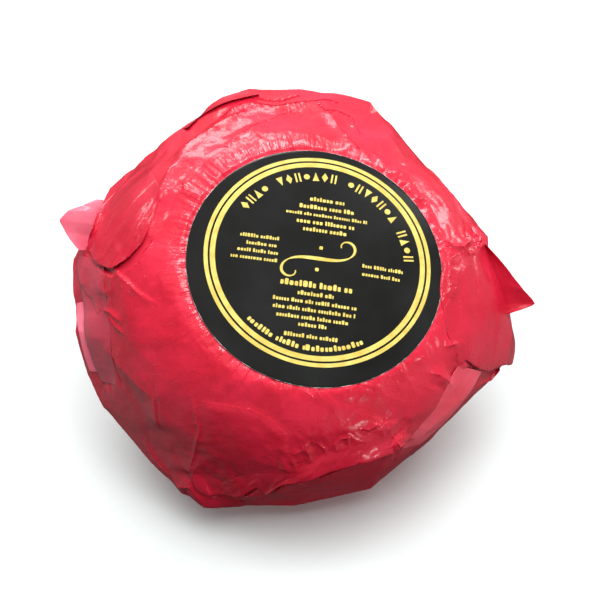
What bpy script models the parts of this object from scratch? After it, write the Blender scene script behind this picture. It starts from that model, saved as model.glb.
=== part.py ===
"""A ball of Edam cheese, shut in a crumpled film wrapper, with a round label.

Units are metres and degrees, +Z is up. The ball lies tipped back a little on a
small flat spot, so that its label faces forwards (-Y) and up. The shape is worked
out in the ball's own frame, with +Z along its axis and z = 0 at its widest plane,
and is then tilted. A place on the ball is (azimuth, latitude, distance from the
middle); azimuth 0 is the right-hand side, and 90 is the far side.
"""
from math import cos, pi, radians, sin

import bmesh
import bpy
from mathutils import Matrix, Vector, noise
from mathutils.bvhtree import BVHTree

# The ball: flat-topped above its widest plane, rounder below it.
BALL_RADIUS = 0.0725
TOP_HEIGHT = 0.043
TOP_FULLNESS = 3.6
TOP_ROUNDNESS = 2.2
BOTTOM_DEPTH = 0.0655
CAP_HEIGHT = 0.040
CAP_RADIUS = 0.506

# How it lies: the axis leans towards -Y, a little to +X, and rests on a flat spot.
TILT = 28.8
LEAN_AZIMUTH = -72.3
REST_CUT = 0.0038

# The label is a thin disc, a little off the ball's axis.
LABEL_RADIUS = 0.045
LABEL_THICKNESS = 0.0004
LABEL_OFFSET = (0.003, -0.003)
LABEL_GAP = 0.0003

# Corners where the film is stretched off the ball, as (azimuth, latitude, distance).
TENTS = [
    (-8, 0, 0.0849), (-17, 0, 0.0816), (-28, 0, 0.0756),
    (-66, -8, 0.0750), (-87, -11, 0.0757), (-97, -12, 0.0766),
    (-112, -12, 0.0803), (-118, -12, 0.0814), (-127, -11, 0.0794),
    (-148, -8, 0.0796), (-157, -5, 0.0799), (-168, -2, 0.0806),
    (172, 0, 0.0817), (149, 0, 0.0806), (133, 14, 0.0757),
    (113, 18, 0.0794), (105, 19, 0.0809), (91, 20, 0.0790),
    (78, 21, 0.0795), (70, 21, 0.0802), (60, 19, 0.0751), (17, 15, 0.0767),
    (40, -20, 0.0755), (75, -32, 0.0750), (112, -24, 0.0765), (150, -34, 0.0750),
]

# The two ears where the gathered film sticks out: each is a thin blade's outline,
# with its tip second and its last place inside the wrapper.
EARS = {
    "ear_right": [(14, 25, 0.0745), (-1, 8, 0.0895), (-8, 1, 0.0845), (-2, 10, 0.0690)],
    "ear_left": [(151, 4, 0.0790), (165, 5, 0.0900), (173, 0, 0.0812), (162, 8, 0.0690)],
}
EAR_THICKNESS = 0.0024

# Under the ball the film is gathered in pleats, which run to the far end of the axis.
PLEATS = 13
PLEAT_DEPTH = 0.0028
PLEAT_TOP = -25
PLEAT_FULL = -62

# Shallow crumples over the rest of the film, none of them under the label.
CRUMPLE_DEPTH = 0.0016
CRUMPLE_SIZE = 0.020
CRUMPLE_FREE_RADIUS = 0.050

# The mesh: points sampled on the bare ball, and the film's own grid.
BALL_SECTORS = 64
BALL_RINGS = 14
FILM_SECTORS = 84
FILM_RINGS = 34
LABEL_SECTORS = 72
LABEL_RINGS = 3


def clear_scene():
    for item in list(bpy.data.objects):
        bpy.data.objects.remove(item, do_unlink=True)


def material(name, colour, roughness):
    new = bpy.data.materials.new(name)
    new.use_nodes = True
    shader = new.node_tree.nodes["Principled BSDF"]
    shader.inputs["Base Color"].default_value = (*colour, 1)
    shader.inputs["Roughness"].default_value = roughness
    shader.inputs["Metallic"].default_value = 0
    return new


def place(azimuth, latitude, distance):
    """The point at a place on the ball, in the ball's frame."""
    level = distance * cos(radians(latitude))
    x = level * cos(radians(azimuth))
    y = level * sin(radians(azimuth))
    return Vector((x, y, distance * sin(radians(latitude))))


def cap_height(radius):
    """Height of the slightly domed top, under the label."""
    return CAP_HEIGHT - radius * radius / (2 * CAP_RADIUS)


def ball_profile():
    """(radius, height) from the edge of the top, over the widest plane, to the bottom."""
    profile = []
    for ring in range(1, BALL_RINGS + 1):
        turn = pi / 2 * ring / BALL_RINGS
        radius = BALL_RADIUS * sin(turn) ** (2 / TOP_FULLNESS)
        height = TOP_HEIGHT * cos(turn) ** (2 / TOP_ROUNDNESS)
        profile.append((radius, min(height, cap_height(radius))))
    for ring in range(1, BALL_RINGS):
        turn = pi / 2 * ring / BALL_RINGS
        profile.append((BALL_RADIUS * cos(turn), -BOTTOM_DEPTH * sin(turn)))
    return profile


def ball_points():
    points = [Vector((0, 0, CAP_HEIGHT)), Vector((0, 0, -BOTTOM_DEPTH))]
    inner = [(BALL_RADIUS * step / 8, cap_height(BALL_RADIUS * step / 8)) for step in range(1, 6)]
    for radius, height in inner + ball_profile():
        for sector in range(BALL_SECTORS):
            turn = 2 * pi * sector / BALL_SECTORS
            points.append(Vector((radius * cos(turn), radius * sin(turn), height)))
    return points


def hull(points):
    """The closed convex surface round some points, as a bmesh."""
    mesh = bmesh.new()
    for point in points:
        mesh.verts.new(point)
    made = bmesh.ops.convex_hull(mesh, input=mesh.verts)
    spare = {item for item in made["geom_interior"] + made["geom_unused"]}
    bmesh.ops.delete(mesh, geom=[item for item in spare if isinstance(item, bmesh.types.BMVert)])
    bmesh.ops.recalc_face_normals(mesh, faces=mesh.faces)
    return mesh


def ramp(value, start, end):
    """0 before start, 1 past end, smooth between them."""
    part = min(max((value - start) / (end - start), 0), 1)
    return part * part * (3 - 2 * part)


def pleat_relief(azimuth, latitude):
    """Depth of the pleats: sharp valleys with round ridges, unevenly spaced."""
    sway = 9 * sin(radians(azimuth * 2 + 40)) + 5 * sin(radians(azimuth * 5))
    wave = abs(sin(radians((azimuth + sway) * PLEATS / 2)))
    fade = ramp(latitude, PLEAT_TOP, PLEAT_FULL) * (1 - ramp(latitude, -76, -88))
    return PLEAT_DEPTH * (1 - wave) * fade


def crumple_relief(point):
    """Depth of the shallow crumples, folded noise that leaves ridges standing."""
    outside = ramp(Vector((point.x, point.y)).length, CRUMPLE_FREE_RADIUS, CRUMPLE_FREE_RADIUS + 0.012)
    if point.z < 0:
        outside = 1
    fold = abs(noise.noise(point / CRUMPLE_SIZE))
    return CRUMPLE_DEPTH * min(fold * 2, 1) * outside


def film_surface():
    """The wrapper's outer surface: the stretched hull, less its pleats and crumples."""
    stretched = hull(ball_points() + [place(*tent) for tent in TENTS])
    tree = BVHTree.FromBMesh(stretched)
    stretched.free()
    mesh = bmesh.new()

    def film_point(azimuth, latitude):
        way = place(azimuth, latitude, 1)
        hit = tree.ray_cast(Vector((0, 0, 0)), way)[0]
        relief = pleat_relief(azimuth, latitude) + crumple_relief(hit)
        return mesh.verts.new(hit - way * relief)

    rings = []
    for ring in range(1, FILM_RINGS):
        latitude = 90 - 180 * ring / FILM_RINGS
        azimuths = [360 * sector / FILM_SECTORS for sector in range(FILM_SECTORS)]
        rings.append([film_point(azimuth, latitude) for azimuth in azimuths])
    close_with_poles(mesh, rings, film_point(0, 90), film_point(0, -90))
    return mesh


def close_with_poles(mesh, rings, top, bottom):
    """Faces between rings of points that run from a top point to a bottom point."""
    count = len(rings[0])
    for upper, lower in zip(rings, rings[1:]):
        for here in range(count):
            there = (here + 1) % count
            mesh.faces.new((upper[here], lower[here], lower[there], upper[there]))
    for here in range(count):
        there = (here + 1) % count
        mesh.faces.new((top, rings[0][here], rings[0][there]))
        mesh.faces.new((bottom, rings[-1][there], rings[-1][here]))


def ear_surface(outline):
    """A thin blade of gathered film, whose edge has the given outline."""
    corners = [place(*corner) for corner in outline]
    facing = (corners[1] - corners[0]).cross(corners[2] - corners[0]).normalized()
    lift = facing * EAR_THICKNESS / 2
    return hull([corner + lift for corner in corners] + [corner - lift for corner in corners])


def label_surface():
    """A thin domed disc, that follows the film's top just above it."""
    mesh = bmesh.new()

    def label_point(radius, turn, lift):
        x = LABEL_OFFSET[0] + radius * cos(turn)
        y = LABEL_OFFSET[1] + radius * sin(turn)
        return mesh.verts.new((x, y, cap_height(Vector((x, y)).length) + LABEL_GAP + lift))

    turns = [2 * pi * sector / LABEL_SECTORS for sector in range(LABEL_SECTORS)]
    steps = [LABEL_RADIUS * ring / LABEL_RINGS for ring in range(1, LABEL_RINGS + 1)]
    rings = [[label_point(radius, turn, LABEL_THICKNESS) for turn in turns] for radius in steps]
    rings += [[label_point(radius, turn, 0) for turn in turns] for radius in reversed(steps)]
    close_with_poles(mesh, rings, label_point(0, 0, LABEL_THICKNESS), label_point(0, 0, 0))
    return mesh


def lie_down(meshes):
    """Tilt every mesh, and stand the lot on z = 0 with the box's middle at the origin."""
    lean = Vector((cos(radians(LEAN_AZIMUTH)), sin(radians(LEAN_AZIMUTH)), 0))
    axis = lean * sin(radians(TILT)) + Vector((0, 0, cos(radians(TILT))))
    side = Vector((1, 0, 0))
    side = (side - axis * side.dot(axis)).normalized()
    turn = Matrix((side, axis.cross(side), axis)).transposed().to_4x4()
    for mesh in meshes:
        bmesh.ops.transform(mesh, matrix=turn, verts=mesh.verts)
    spots = [vert.co for mesh in meshes for vert in mesh.verts]
    low = [min(spot[way] for spot in spots) for way in range(3)]
    high = [max(spot[way] for spot in spots) for way in range(3)]
    shift = Vector((-(low[0] + high[0]) / 2, -(low[1] + high[1]) / 2, -low[2] - REST_CUT))
    for mesh in meshes:
        bmesh.ops.translate(mesh, vec=shift, verts=mesh.verts)


def cut_rest(mesh):
    """Cut the flat spot that the ball rests on."""
    everything = mesh.verts[:] + mesh.edges[:] + mesh.faces[:]
    cut = bmesh.ops.bisect_plane(
        mesh, geom=everything, dist=1e-7, plane_co=(0, 0, 0), plane_no=(0, 0, -1), clear_outer=True)
    rim = [item for item in cut["geom_cut"] if isinstance(item, bmesh.types.BMEdge)]
    bmesh.ops.edgeloop_fill(mesh, edges=rim)
    bmesh.ops.recalc_face_normals(mesh, faces=mesh.faces)


def add_object(name, surface, finish):
    data = bpy.data.meshes.new(name)
    surface.to_mesh(data)
    surface.free()
    data.shade_smooth()
    data.set_sharp_from_angle(angle=radians(35))
    made = bpy.data.objects.new(name, data)
    made.data.materials.append(finish)
    bpy.context.scene.collection.objects.link(made)
    return made


def join_ear(wrapper, ear):
    """Unite an ear with the wrapper, and keep its own object as a guide."""
    ear.hide_render = True
    ear.display_type = "WIRE"
    union = wrapper.modifiers.new(ear.name, "BOOLEAN")
    union.operation = "UNION"
    union.solver = "EXACT"
    union.object = ear


def build():
    clear_scene()
    red_film = material("red film", (0.62, 0.02, 0.05), 0.3)
    black_label = material("black label", (0.03, 0.03, 0.028), 0.4)
    film = film_surface()
    ears = {name: ear_surface(outline) for name, outline in EARS.items()}
    label = label_surface()
    lie_down([film, label, *ears.values()])
    cut_rest(film)
    wrapper = add_object("wrapped_cheese", film, red_film)
    for name, ear in ears.items():
        join_ear(wrapper, add_object(name, ear, red_film))
    add_object("label", label, black_label)


build()
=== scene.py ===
"""Looks for the film-wrapped ball of cheese: crumpled red film and a printed label."""
from math import cos, pi, radians, sin, sqrt

import bmesh
import bpy
import numpy as np
from mathutils import Matrix, Vector, noise
from mathutils.bvhtree import BVHTree
from mathutils.kdtree import KDTree


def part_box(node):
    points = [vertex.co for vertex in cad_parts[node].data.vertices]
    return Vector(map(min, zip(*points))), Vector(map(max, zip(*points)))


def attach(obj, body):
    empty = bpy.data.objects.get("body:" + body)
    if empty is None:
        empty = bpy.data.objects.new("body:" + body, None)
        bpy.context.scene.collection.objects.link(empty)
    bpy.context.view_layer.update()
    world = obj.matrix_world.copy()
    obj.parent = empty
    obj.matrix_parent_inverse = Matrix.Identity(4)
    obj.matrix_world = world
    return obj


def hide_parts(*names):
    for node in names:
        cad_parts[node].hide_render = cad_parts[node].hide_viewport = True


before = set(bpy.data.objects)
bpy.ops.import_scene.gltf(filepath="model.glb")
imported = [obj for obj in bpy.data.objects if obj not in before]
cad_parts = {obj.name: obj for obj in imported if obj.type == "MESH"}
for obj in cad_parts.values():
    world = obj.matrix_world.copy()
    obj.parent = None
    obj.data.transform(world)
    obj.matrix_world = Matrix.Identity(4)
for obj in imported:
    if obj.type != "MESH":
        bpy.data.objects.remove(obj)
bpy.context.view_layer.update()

# The ball's shape, as the frame's solid has it: a fuller upper half, an elliptic lower half, and a
# shallow dome under the label. Lengths are in metres and angles in degrees.
MM = 0.001
BALL_RADIUS = 0.0725
TOP_HEIGHT = 0.043
TOP_FULLNESS = 3.6
TOP_ROUNDNESS = 2.2
BOTTOM_DEPTH = 0.0655
CAP_HEIGHT = 0.040
CAP_RADIUS = 0.506
TILT = 28.8
LEAN_AZIMUTH = -72.3
LABEL_RADIUS = 0.045
LABEL_OFFSET = (0.003, -0.003)
LABEL_RIM_HEIGHT = 0.0385

# Corners that stretch the film outwards: (azimuth, latitude, distance from the ball's middle).
TENTS = [
    (-8, 0, 0.0849), (-17, 0, 0.0816), (-28, 0, 0.0756),
    (-66, -8, 0.0750), (-87, -11, 0.0757), (-97, -12, 0.0766),
    (-112, -12, 0.0803), (-118, -12, 0.0814), (-127, -11, 0.0794),
    (-148, -8, 0.0796), (-157, -5, 0.0799), (-168, -2, 0.0806),
    (172, 0, 0.0817), (149, 0, 0.0806), (133, 14, 0.0757),
    (113, 18, 0.0794), (105, 19, 0.0809), (91, 20, 0.0790),
    (78, 21, 0.0795), (70, 21, 0.0802), (60, 19, 0.0751), (17, 15, 0.0767),
    (40, -20, 0.0755), (75, -32, 0.0750), (112, -24, 0.0765), (150, -34, 0.0750),
]


# ---- places on the ball
def ball_axes():
    """The ball's own directions: sideways, away, and up through the label."""
    lean = Vector((cos(radians(LEAN_AZIMUTH)), sin(radians(LEAN_AZIMUTH)), 0))
    axis = lean * sin(radians(TILT)) + Vector((0, 0, cos(radians(TILT))))
    side = Vector((1, 0, 0))
    side = (side - axis * side.dot(axis)).normalized()
    return side, axis.cross(side), axis


def ball_matrix():
    """The ball's frame, with its origin at the ball's middle."""
    side, far, axis = ball_axes()
    low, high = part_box("label")
    middle = (low + high) / 2 - axis * LABEL_RIM_HEIGHT
    middle -= side * LABEL_OFFSET[0] + far * LABEL_OFFSET[1]
    turn = Matrix((side, far, axis)).transposed().to_4x4()
    return Matrix.Translation(middle) @ turn


BALL = ball_matrix()


def place(azimuth, latitude, distance):
    """A point of the ball's frame, from its direction in degrees and its distance."""
    turn = radians(azimuth)
    level = distance * cos(radians(latitude))
    return Vector((level * cos(turn), level * sin(turn), distance * sin(radians(latitude))))


def cap_height(radius):
    """Height of the shallow dome over the ball's top."""
    return CAP_HEIGHT - radius * radius / (2 * CAP_RADIUS)


def rim_distance(points):
    """How far points are outside the label's rim, seen along the ball's axis."""
    return np.hypot(points[:, 0] - LABEL_OFFSET[0], points[:, 1] - LABEL_OFFSET[1]) - LABEL_RADIUS


def unit(vectors):
    """The directions of an array's vectors."""
    return vectors / np.linalg.norm(vectors, axis=-1)[..., None]


def smooth_ramp(value, start, end):
    """Rises smoothly from 0 to 1 between start and end."""
    part = np.clip((value - start) / (end - start), 0, 1)
    return part * part * (3 - 2 * part)


# ---- the film's mesh
SECTORS = 96
CAP_STEPS = 16
QUARTER_STEPS = 28
COARSE_POINTS = 1300
TENT_SPACING = 0.006
TENT_CLEARANCE = 0.05  # radians to the nearest coarse points


def ball_points():
    """Points all over the plain ball, without its tents."""
    points = [Vector((0, 0, CAP_HEIGHT)), Vector((0, 0, -BOTTOM_DEPTH))]
    radii = [BALL_RADIUS * step / CAP_STEPS for step in range(1, 11)]
    profile = [(radius, cap_height(radius)) for radius in radii]
    for step in range(1, QUARTER_STEPS + 1):
        turn = pi / 2 * step / QUARTER_STEPS
        radius = BALL_RADIUS * sin(turn) ** (2 / TOP_FULLNESS)
        height = TOP_HEIGHT * cos(turn) ** (2 / TOP_ROUNDNESS)
        profile.append((radius, min(height, cap_height(radius))))
    for step in range(1, QUARTER_STEPS):
        turn = pi / 2 * step / QUARTER_STEPS
        profile.append((BALL_RADIUS * cos(turn), -BOTTOM_DEPTH * sin(turn)))
    for radius, height in profile:
        for sector in range(SECTORS):
            turn = 2 * pi * sector / SECTORS
            points.append(Vector((radius * cos(turn), radius * sin(turn), height)))
    return points


def hull(points):
    mesh = bmesh.new()
    for point in points:
        mesh.verts.new(point)
    made = bmesh.ops.convex_hull(mesh, input=mesh.verts)
    spare = {item for item in made["geom_interior"] + made["geom_unused"]}
    bmesh.ops.delete(mesh, geom=[item for item in spare if isinstance(item, bmesh.types.BMVert)])
    bmesh.ops.recalc_face_normals(mesh, faces=mesh.faces)
    return mesh


def even_directions(count, rng, jitter=0.35):
    """Nearly evenly spread directions, with no rows in them."""
    index = np.arange(count) + 0.5
    z = 1 - 2 * index / count
    turn = index * pi * (3 - sqrt(5))
    level = np.sqrt(1 - z * z)
    ways = np.stack([level * np.cos(turn), level * np.sin(turn), z], 1)
    ways += rng.uniform(-1, 1, ways.shape) * jitter * sqrt(4 * pi / count)
    return unit(ways)


def triangulate(ways):
    mesh = hull([Vector(way) for way in ways])
    mesh.verts.ensure_lookup_table()
    points = np.array([vertex.co for vertex in mesh.verts])
    mesh.verts.index_update()
    tris = np.array([[vertex.index for vertex in face.verts] for face in mesh.faces])
    mesh.free()
    return points, tris


def tent_directions():
    """Directions of the tents, and of points on the lines between them."""
    tents = [place(*tent).normalized() for tent in TENTS]
    ways = list(tents)
    for here, there in zip(tents, tents[1:]):
        count = int((there - here).length * BALL_RADIUS / TENT_SPACING)
        ways += [here.lerp(there, step / (count + 1)).normalized() for step in range(1, count + 1)]
    return np.array(ways)


def coarse_film(rng):
    """Points and triangles of the stretched shape, and the points that the tents hold."""
    stretched = hull(ball_points() + [place(*tent) for tent in TENTS])
    tree = BVHTree.FromBMesh(stretched)
    stretched.free()
    drawn = tent_directions()
    ways = even_directions(COARSE_POINTS, rng)
    gap = np.linalg.norm(ways[:, None] - drawn[None], axis=2).min(1)
    ways, tris = triangulate(np.concatenate([drawn, ways[gap > TENT_CLEARANCE]]))
    points = np.array([tree.ray_cast(Vector((0, 0, 0)), Vector(way))[0] for way in ways])
    return points, tris, np.arange(len(points)) < len(drawn)


def split_triangles(points, tris, chosen, rng, drift=0.1):
    """Each chosen triangle becomes four, and one beside it may become two."""
    edges = np.sort(np.concatenate([tris[:, [0, 1]], tris[:, [1, 2]], tris[:, [2, 0]]]), axis=1)
    unique, inverse = np.unique(edges, axis=0, return_inverse=True)
    inverse = inverse.reshape(3, -1).T
    cut = np.zeros(len(unique), bool)
    cut[inverse[chosen].ravel()] = True
    while (cut[inverse].sum(1) == 2).any():
        cut[inverse[cut[inverse].sum(1) == 2].ravel()] = True
    ends = unique[cut]
    share = 0.5 + rng.uniform(-drift, drift, len(ends))[:, None]
    middles = points[ends[:, 0]] * share + points[ends[:, 1]] * (1 - share)
    number = np.cumsum(cut) - 1 + len(points)
    cuts = cut[inverse].sum(1)
    # Between corners a, b and c lie the middles ab, bc and ca.
    a, b, c = tris[cuts == 3].T
    ab, bc, ca = number[inverse[cuts == 3]].T
    fours = [np.stack(trio, 1) for trio in ((a, ab, ca), (b, bc, ab), (c, ca, bc), (ab, bc, ca))]
    halved = tris[cuts == 1]
    first = np.argmax(cut[inverse[cuts == 1]], axis=1)
    row = np.arange(len(halved))
    a, b, c = (halved[row, (first + step) % 3] for step in range(3))
    ab = number[inverse[cuts == 1][row, first]]
    twos = [np.stack(trio, 1) for trio in ((a, ab, c), (ab, b, c))]
    return np.concatenate([points, middles]), np.concatenate([tris[cuts == 0]] + fours + twos)


def edges_and_wings(tris):
    """Edges, and for each one the two points across it."""
    half = np.concatenate([tris[:, [0, 1, 2]], tris[:, [1, 2, 0]], tris[:, [2, 0, 1]]])
    key = np.sort(half[:, :2], axis=1)
    order = np.lexsort((key[:, 1], key[:, 0]))
    key, third = key[order], half[order, 2]
    return key[::2], np.stack([third[::2], third[1::2]], 1)


def inner_radius(points):
    """Distance from the ball's middle to its surface, towards each point."""
    ways = unit(points)
    low = np.full(len(ways), 0.02)
    high = np.full(len(ways), 0.09)
    for _ in range(26):
        middle = (low + high) / 2
        spots = ways * middle[:, None]
        height = spots[:, 2]
        radius = np.hypot(spots[:, 0], spots[:, 1])
        top = (radius / BALL_RADIUS) ** TOP_FULLNESS + (np.abs(height) / TOP_HEIGHT) ** TOP_ROUNDNESS
        bottom = (radius / BALL_RADIUS) ** 2 + (height / BOTTOM_DEPTH) ** 2
        outside = np.where(height > 0, (top > 1) | (height > cap_height(radius)), bottom > 1)
        high = np.where(outside, middle, high)
        low = np.where(outside, low, middle)
    return (low + high) / 2


RELAX_SPEED = 1.3
MOMENTUM = 0.9


def relax(points, tris, spare, held, inside, steps, bend_stiffness):
    """Let the film settle: edges keep their lengths, and nothing enters the ball."""
    edges, wings = edges_and_wings(tris)
    count = len(points)
    starts, ends = np.concatenate([edges, wings]).T
    rest = np.linalg.norm(points[ends] - points[starts], axis=1)
    rest = rest * (1 + (spare[starts] + spare[ends]) / 2)
    stiffness = np.concatenate([np.ones(len(edges)), np.full(len(wings), bend_stiffness)])
    speed = RELAX_SPEED / (np.bincount(starts, stiffness, count) + np.bincount(ends, stiffness, count))
    before = points.copy()
    for _ in range(steps):
        way = points[ends] - points[starts]
        length = np.sqrt((way * way).sum(1))
        pull = way * (stiffness * (length - rest) / length)[:, None]
        pulls = [np.bincount(starts, part, count) - np.bincount(ends, part, count) for part in pull.T]
        moved = points + np.stack(pulls, 1) * speed[:, None] + (points - before) * MOMENTUM
        radius = np.sqrt((moved * moved).sum(1))
        moved *= np.maximum(inside / radius, 1)[:, None]
        before = points
        points = np.where(held[:, None], points, moved)
    return points


# ---- the film's folds and crumples
# Where the film has cloth to spare: (azimuth, latitude, reach in mm, share to spare).
SPARE = [
    (-90, 17, 10, 0.016), (-77, 21, 9, 0.014), (-68, 25, 6, 0.014), (-36, 25, 8, 0.02), (-26, 25, 6, 0.015),
    (11, 27, 6, 0.03), (171, 6, 8, 0.04), (-174, 12, 9, 0.02), (-165, 2, 14, 0.01), (-105, 0, 8, 0.03),
    (-116, -4, 8, 0.04), (-93, 5, 7, 0.025), (-60, 16, 7, 0.04),
    (60, -15, 22, 0.03), (100, -10, 20, 0.03), (140, -20, 25, 0.03), (20, -15, 15, 0.04),
]

# Folds and stretched edges: (kind, height in mm, width in mm, places as (azimuth, latitude)).
# A ridge stands up, a valley dips, and a step or a softer shelf is higher on the left of its path.
CREASES = [
    ("ridge", 2.0, 3.2, [(117, 24), (108, 25), (100, 27), (91, 26), (84, 25), (79, 24)]),
    ("ridge", 0.8, 3.5, [(85, 26), (81, 29), (77, 33), (73, 36), (67, 38)]),
    ("ridge", 0.7, 3.0, [(82, 27), (74, 28), (69, 32)]),
    ("valley", 0.8, 2.5, [(110, 20), (104, 22), (97, 23), (91, 22)]),
    ("step", 1.4, 7.0, [(176, 34), (180, 32), (-176, 30), (-175, 27), (-175, 21), (179, 13), (171, 5)]),
    ("ridge", 0.6, 2.5, [(176, 33), (170, 33), (161, 33), (154, 34)]),
    ("ridge", 1.2, 4.0, [(161, 33), (150, 31), (137, 28), (122, 27), (110, 26)]),
    ("ridge", 1.1, 3.5, [(95, 28), (101, 31), (108, 33), (116, 35), (125, 36)]),
    ("ridge", 0.6, 3.0, [(148, 36), (152, 38), (151, 42)]),
    ("valley", 0.5, 1.6, [(-140, 20), (-135, 16), (-130, 8)]),
    ("ridge", 0.35, 1.3, [(-128, 26), (-124, 22), (-120, 17), (-119, 8), (-118, -2)]),
    ("shelf", 1.0, 8.0, [(-93, 11), (-94, 20), (-96, 26), (-102, 29), (-109, 30), (-117, 28), (-125, 25)]),
    ("step", 2.2, 8.0, [(-57, 19), (-64, 18), (-71, 17), (-77, 15), (-82, 12), (-88, 10), (-93, 7),
                        (-96, 1), (-100, 1), (-104, -5), (-108, -7), (-113, -7), (-118, -4)]),
    ("ridge", 0.7, 2.0, [(-134, -5), (-127, -8), (-119, -9), (-116, -5)]),
    ("shelf", 1.8, 4.5, [(-96, 13), (-90, 12), (-83, 11)]),
    ("ridge", 0.35, 1.2, [(-87, 24), (-90, 21), (-93, 19)]),
    ("ridge", 0.45, 1.3, [(-93, 19), (-91, 15), (-90, 12)]),
    ("ridge", 0.4, 1.2, [(-90, 18), (-88, 14), (-84, 11)]),
    ("ridge", 0.45, 1.3, [(-87, 24), (-83, 21), (-82, 16), (-84, 11)]),
    ("ridge", 0.5, 1.2, [(-79, 18), (-80, 22), (-78, 24), (-76, 24), (-76, 21), (-78, 20)]),
    ("ridge", 0.55, 1.4, [(-74, 19), (-73, 15), (-68, 17), (-65, 21), (-64, 27)]),
    ("ridge", 0.4, 1.2, [(-72, 26), (-69, 25), (-66, 26)]),
    ("ridge", 0.4, 1.2, [(-72, 22), (-69, 21)]),
    ("valley", 1.0, 1.8, [(-97, 20), (-95, 12), (-98, 5)]),
    ("ridge", 0.9, 2.4, [(-31, 31), (-27, 29), (-24, 25)]),
    ("ridge", 1.0, 2.0, [(-27, 29), (-30, 26)]),
    ("ridge", 0.9, 3.0, [(-43, 31), (-39, 27), (-37, 22), (-37, 17)]),
    ("valley", 0.3, 1.6, [(-44, 28), (-41, 23), (-39, 18)]),
    ("ridge", 0.9, 2.0, [(14, 22), (13, 26), (10, 30), (9, 35), (13, 39)]),
    ("valley", 0.6, 1.8, [(4, 28), (12, 25), (22, 24)]),
    ("ridge", 0.8, 3.0, [(14, 17), (5, 17), (0, 8), (-7, 2)]),
    ("step", 1.0, 6.0, [(-33, 24), (-28, 18), (-23, 9)]),
    ("ridge", 0.8, 3.0, [(-28, 12), (-35, 14), (-44, 14), (-53, 11)]),
    ("ridge", 0.5, 3.0, [(5, 28), (-7, 34), (-17, 36)]),
    ("step", 0.9, 4.0, [(-149, 0), (-162, 7), (-173, 8), (174, 7)]),
    ("valley", 1.0, 2.0, [(180, 12), (-169, 14), (-156, 11), (-145, 5)]),
    ("step", 1.0, 6.0, [(-159, 33), (-165, 30), (-175, 24), (180, 20)]),
    ("ridge", 1.4, 9.0, [(46, 22), (36, 22), (26, 21), (19, 18)]),
    ("valley", 2.0, 14.0, [(180, 4), (-172, 3), (-164, 2), (-157, 0), (-150, -3)]),
    ("ridge", 1.0, 1.6, [(20, 19), (15, 20), (10, 21)]),
    ("ridge", 0.9, 1.6, [(20, 24), (15, 21), (12, 22)]),
    ("ridge", 0.8, 1.8, [(11, 34), (8, 28), (10, 21)]),
    ("ridge", 0.8, 1.6, [(-170, 10), (-165, 17), (-159, 21)]),
    ("ridge", 0.7, 1.6, [(-166, 15), (-161, 17), (-156, 20)]),
    ("ridge", 1.2, 8.0, [(-169, 8), (-159, 9), (-147, 13), (-136, 16), (-130, 6)]),
]

# Rounds of settling: mesh size in mm, steps, spare film all over, share of SPARE, stiffness of folds.
LEVELS = [
    (7.5, 400, 0.0008, 0.1, 0.03),
    (3.7, 400, 0.0005, 0.5, 0.05),
    (1.9, 250, 0.0002, 0.3, 0.05),
    (0.95, 60, 0, 0.05, 0.08),
]
FINE_SIZE = 3  # mm: tents hold in coarser rounds, and hidden film isn't split in finer ones
FINEST_SIZE = 1  # mm: only busy film is split in finer rounds
HIDDEN_RIM = -0.004  # nearer the label's middle than this, the film is hidden
HIDDEN_HEIGHT = -0.045  # and so it is below this
SPARE_RADIUS = 0.072
PATCH_SIZE = 0.03
BUSY_GAP = 1.2  # mm from a crease
BUSY_CRUMPLE = 0.6
SPARE_MOST = 0.05  # the film is fully crumpled here
SPARE_AT_RIM = 0.006
SPARE_BELOW = 0.04
SNAP_GAP = 0.5  # mm: points as near as this are drawn onto a crease
VALLEY_DEPTH = 0.6  # of its height

# Facets: size, height where the film is smooth, and how much more where it is crumpled.
BROAD_FACETS = (0.017, 0.0008)
LONG_FACETS = (0.0070, 0.0010)
SMALL_FACETS = (0.0070, 0.00020, 0.0018)
FINE_FACETS = (0.0030, 0.00004, 0.0006)


def nearest_on_path(ways, path):
    """For directions: the gap in mm to a path, its side, its nearest place and the ends' taper."""
    spots = [np.array(place(azimuth, latitude, BALL_RADIUS / MM)) for azimuth, latitude in path]
    points = ways * BALL_RADIUS / MM
    gap = np.full(len(ways), 1e9)
    side = np.zeros(len(ways))
    along = np.zeros(len(ways))
    foot = np.zeros_like(ways)
    run = 0
    for start, end in zip(spots, spots[1:]):
        step = end - start
        length = np.linalg.norm(step)
        part = np.clip((points - start) @ step / length ** 2, 0, 1)
        here = start + part[:, None] * step
        distance = np.linalg.norm(points - here, axis=1)
        closer = distance < gap
        gap = np.where(closer, distance, gap)
        side = np.where(closer, np.sign(points @ np.cross(start, end)), side)
        along = np.where(closer, run + part * length, along)
        foot = np.where(closer[:, None], here, foot)
        run += length
    taper = smooth_ramp(np.minimum(along, run - along), -1.0, min(6, run / 3))
    return gap, side, foot, taper


def crease_lift(kind, gap, side, width):
    """The shape of one crease across its path, from 0 to 1."""
    if kind == "step":
        return np.exp(-gap / width) * smooth_ramp(gap * side, -0.3, 0.7)
    if kind == "shelf":
        return np.exp(-gap / width) * smooth_ramp(gap * side, -1.5, 2.5)
    return np.clip(1 - gap / width, 0, 1) ** 1.4


def fold_film(points):
    """Raise or sink the film at its creases, and draw nearby points onto them."""
    radius = np.linalg.norm(points, axis=1)
    ways = points / radius[:, None]
    for kind, height, width, path in CREASES:
        gap, side, foot, taper = nearest_on_path(ways, path)
        near = gap < SNAP_GAP
        ways = np.where(near[:, None], unit(foot), ways)
        gap = np.where(near, 0, gap)
        sign = -VALLEY_DEPTH if kind == "valley" else 1
        radius = radius + sign * height * MM * crease_lift(kind, gap, side, width) * taper
    return ways * radius[:, None]


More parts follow.
